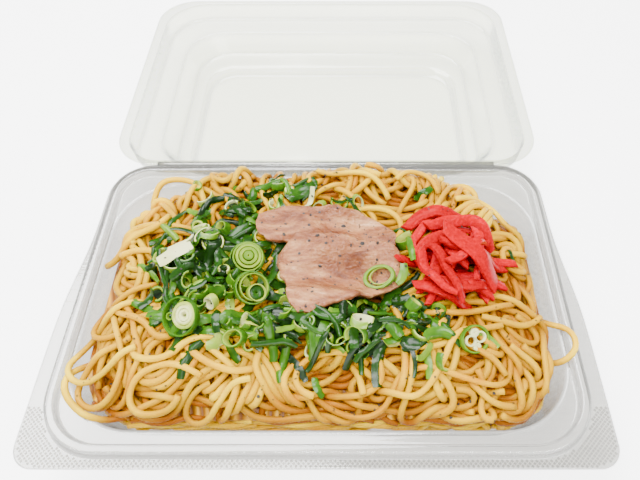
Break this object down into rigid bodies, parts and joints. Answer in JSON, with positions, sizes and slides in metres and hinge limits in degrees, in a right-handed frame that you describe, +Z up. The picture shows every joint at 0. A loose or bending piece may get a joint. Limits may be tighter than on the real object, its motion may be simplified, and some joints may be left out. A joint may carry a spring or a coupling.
{
  "type": "yakisoba",
  "caption": "Fried noodles heaped in a clear hinged food pack, topped with spring onion, sliced pork and red pickled ginger; the lid folds over to shut.",
  "frame": {"origin": "middle of the tray's flat underside, on the surface that the pack stands on", "axes": "+X to the right across the pack, +Y from the tray's front edge towards the fold and the open lid, +Z up"},
  "size_m": [0.2006, 0.27, 0.0508],
  "materials": {
    "clear_plastic": "clear, glossy formed sheet",
    "noodle": "boiled wheat noodle with a thin film of sauce and oil",
    "scallion": "moist leaf",
    "pork": "cooked, moist, peppered",
    "ginger": "wet, dyed red"
  },
  "bodies": {
    "tray": {"tray": "clear_plastic", "noodles": "noodle", "scallions": "scallion", "pork_slice_rear": "pork", "pork_slice_front": "pork", "pickled_ginger": "ginger", "scallion_ring_left": "scallion", "scallion_ring_right": "scallion", "scallion_ring_on_pork": "scallion", "scallion_ring_upper": "scallion", "scallion_ring_lower": "scallion"},
    "lid": {"lid": "clear_plastic"}
  },
  "joints": [
    {"name": "lid_hinge", "type": "hinge", "parent": "tray", "child": "lid", "pos_m": [0, 0.0675, 0.02615], "axis": [1, 0, 0], "range_deg": [0, 180]}
  ]
}
